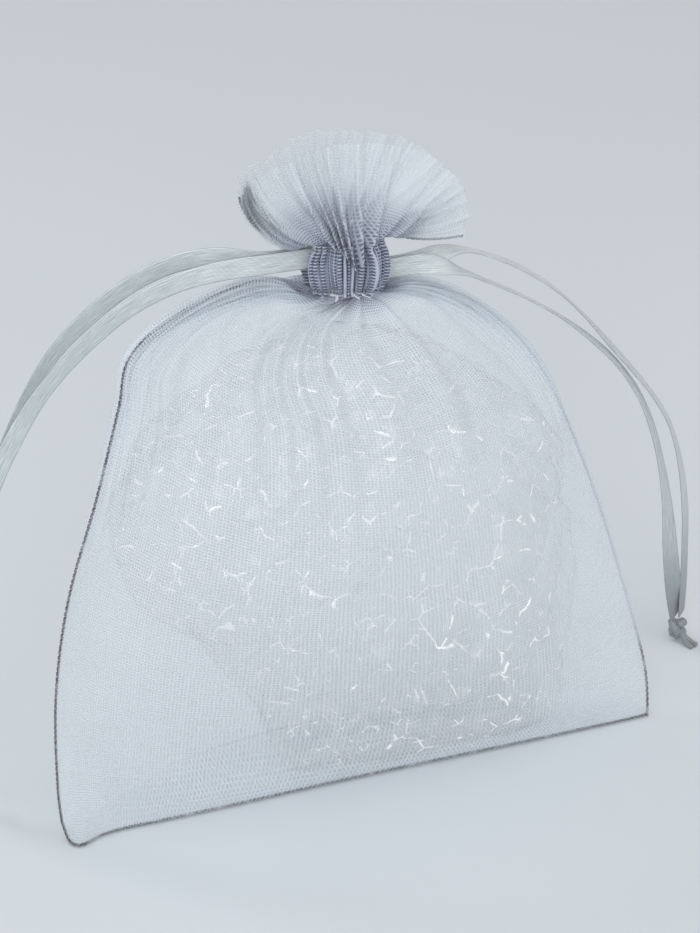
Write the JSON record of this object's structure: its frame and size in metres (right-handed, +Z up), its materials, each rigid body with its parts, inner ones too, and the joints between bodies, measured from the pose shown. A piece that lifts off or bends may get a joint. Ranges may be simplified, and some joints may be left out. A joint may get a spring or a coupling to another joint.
{
  "type": "drawstring gift pouch",
  "caption": "Sheer organza gift pouch, drawn shut by satin ribbon drawstrings, standing with a clear film bag inside.",
  "frame": {"origin": "on the floor, under the middle of the pouch's box without its ribbons", "axes": "+X along the bottom seam to the pouch's left hand as it faces you (viewer's right), -Y is the front, +Z is up"},
  "size_m": [0.1255, 0.0365, 0.0957],
  "materials": {
    "organza": "sheer plain weave with a soft shimmer",
    "satin_ribbon": "satin",
    "thread": "matte spun thread",
    "clear_film": "clear, glossy and crinkled"
  },
  "bodies": {
    "pouch": {"front_panel": "organza", "back_panel": "organza", "left_side_seam": "thread", "right_side_seam": "thread", "bottom_seam": "thread", "back_channel": "organza", "back_upper_stitching": "thread", "back_lower_stitching": "thread", "back_ruffle": "organza", "left_ruffle_seam": "thread", "right_ruffle_seam": "thread", "film_bag": "clear_film", "left_ribbon_loop": "satin_ribbon", "right_ribbon_loop": "satin_ribbon"},
    "mouth_front": {"front_channel": "organza", "front_upper_stitching": "thread", "front_lower_stitching": "thread", "front_ruffle": "organza"},
    "left_drawstring": {"left_front_strand": "satin_ribbon", "left_back_strand": "satin_ribbon", "left_knot": "satin_ribbon"},
    "right_drawstring": {"right_front_strand": "satin_ribbon", "right_back_strand": "satin_ribbon", "right_knot": "satin_ribbon"}
  },
  "joints": [
    {"name": "mouth_open", "type": "slide", "parent": "pouch", "child": "mouth_front", "axis": [0, -1, 0], "range_m": [0, 0.005], "deforming": ["left_ribbon_loop", "right_ribbon_loop"]},
    {"name": "left_drawstring_run", "type": "slide", "parent": "pouch", "child": "left_drawstring", "axis": [1, 0, 0], "range_m": [0, 0.005], "deforming": ["left_ribbon_loop", "right_ribbon_loop"]},
    {"name": "right_drawstring_run", "type": "slide", "parent": "pouch", "child": "right_drawstring", "axis": [-1, 0, 0], "range_m": [0, 0.005], "deforming": ["left_ribbon_loop", "right_ribbon_loop"]}
  ],
  "couplings": [
    {"joint": "left_drawstring_run", "follows": "mouth_open", "ratio": 1},
    {"joint": "right_drawstring_run", "follows": "mouth_open", "ratio": 1}
  ]
}
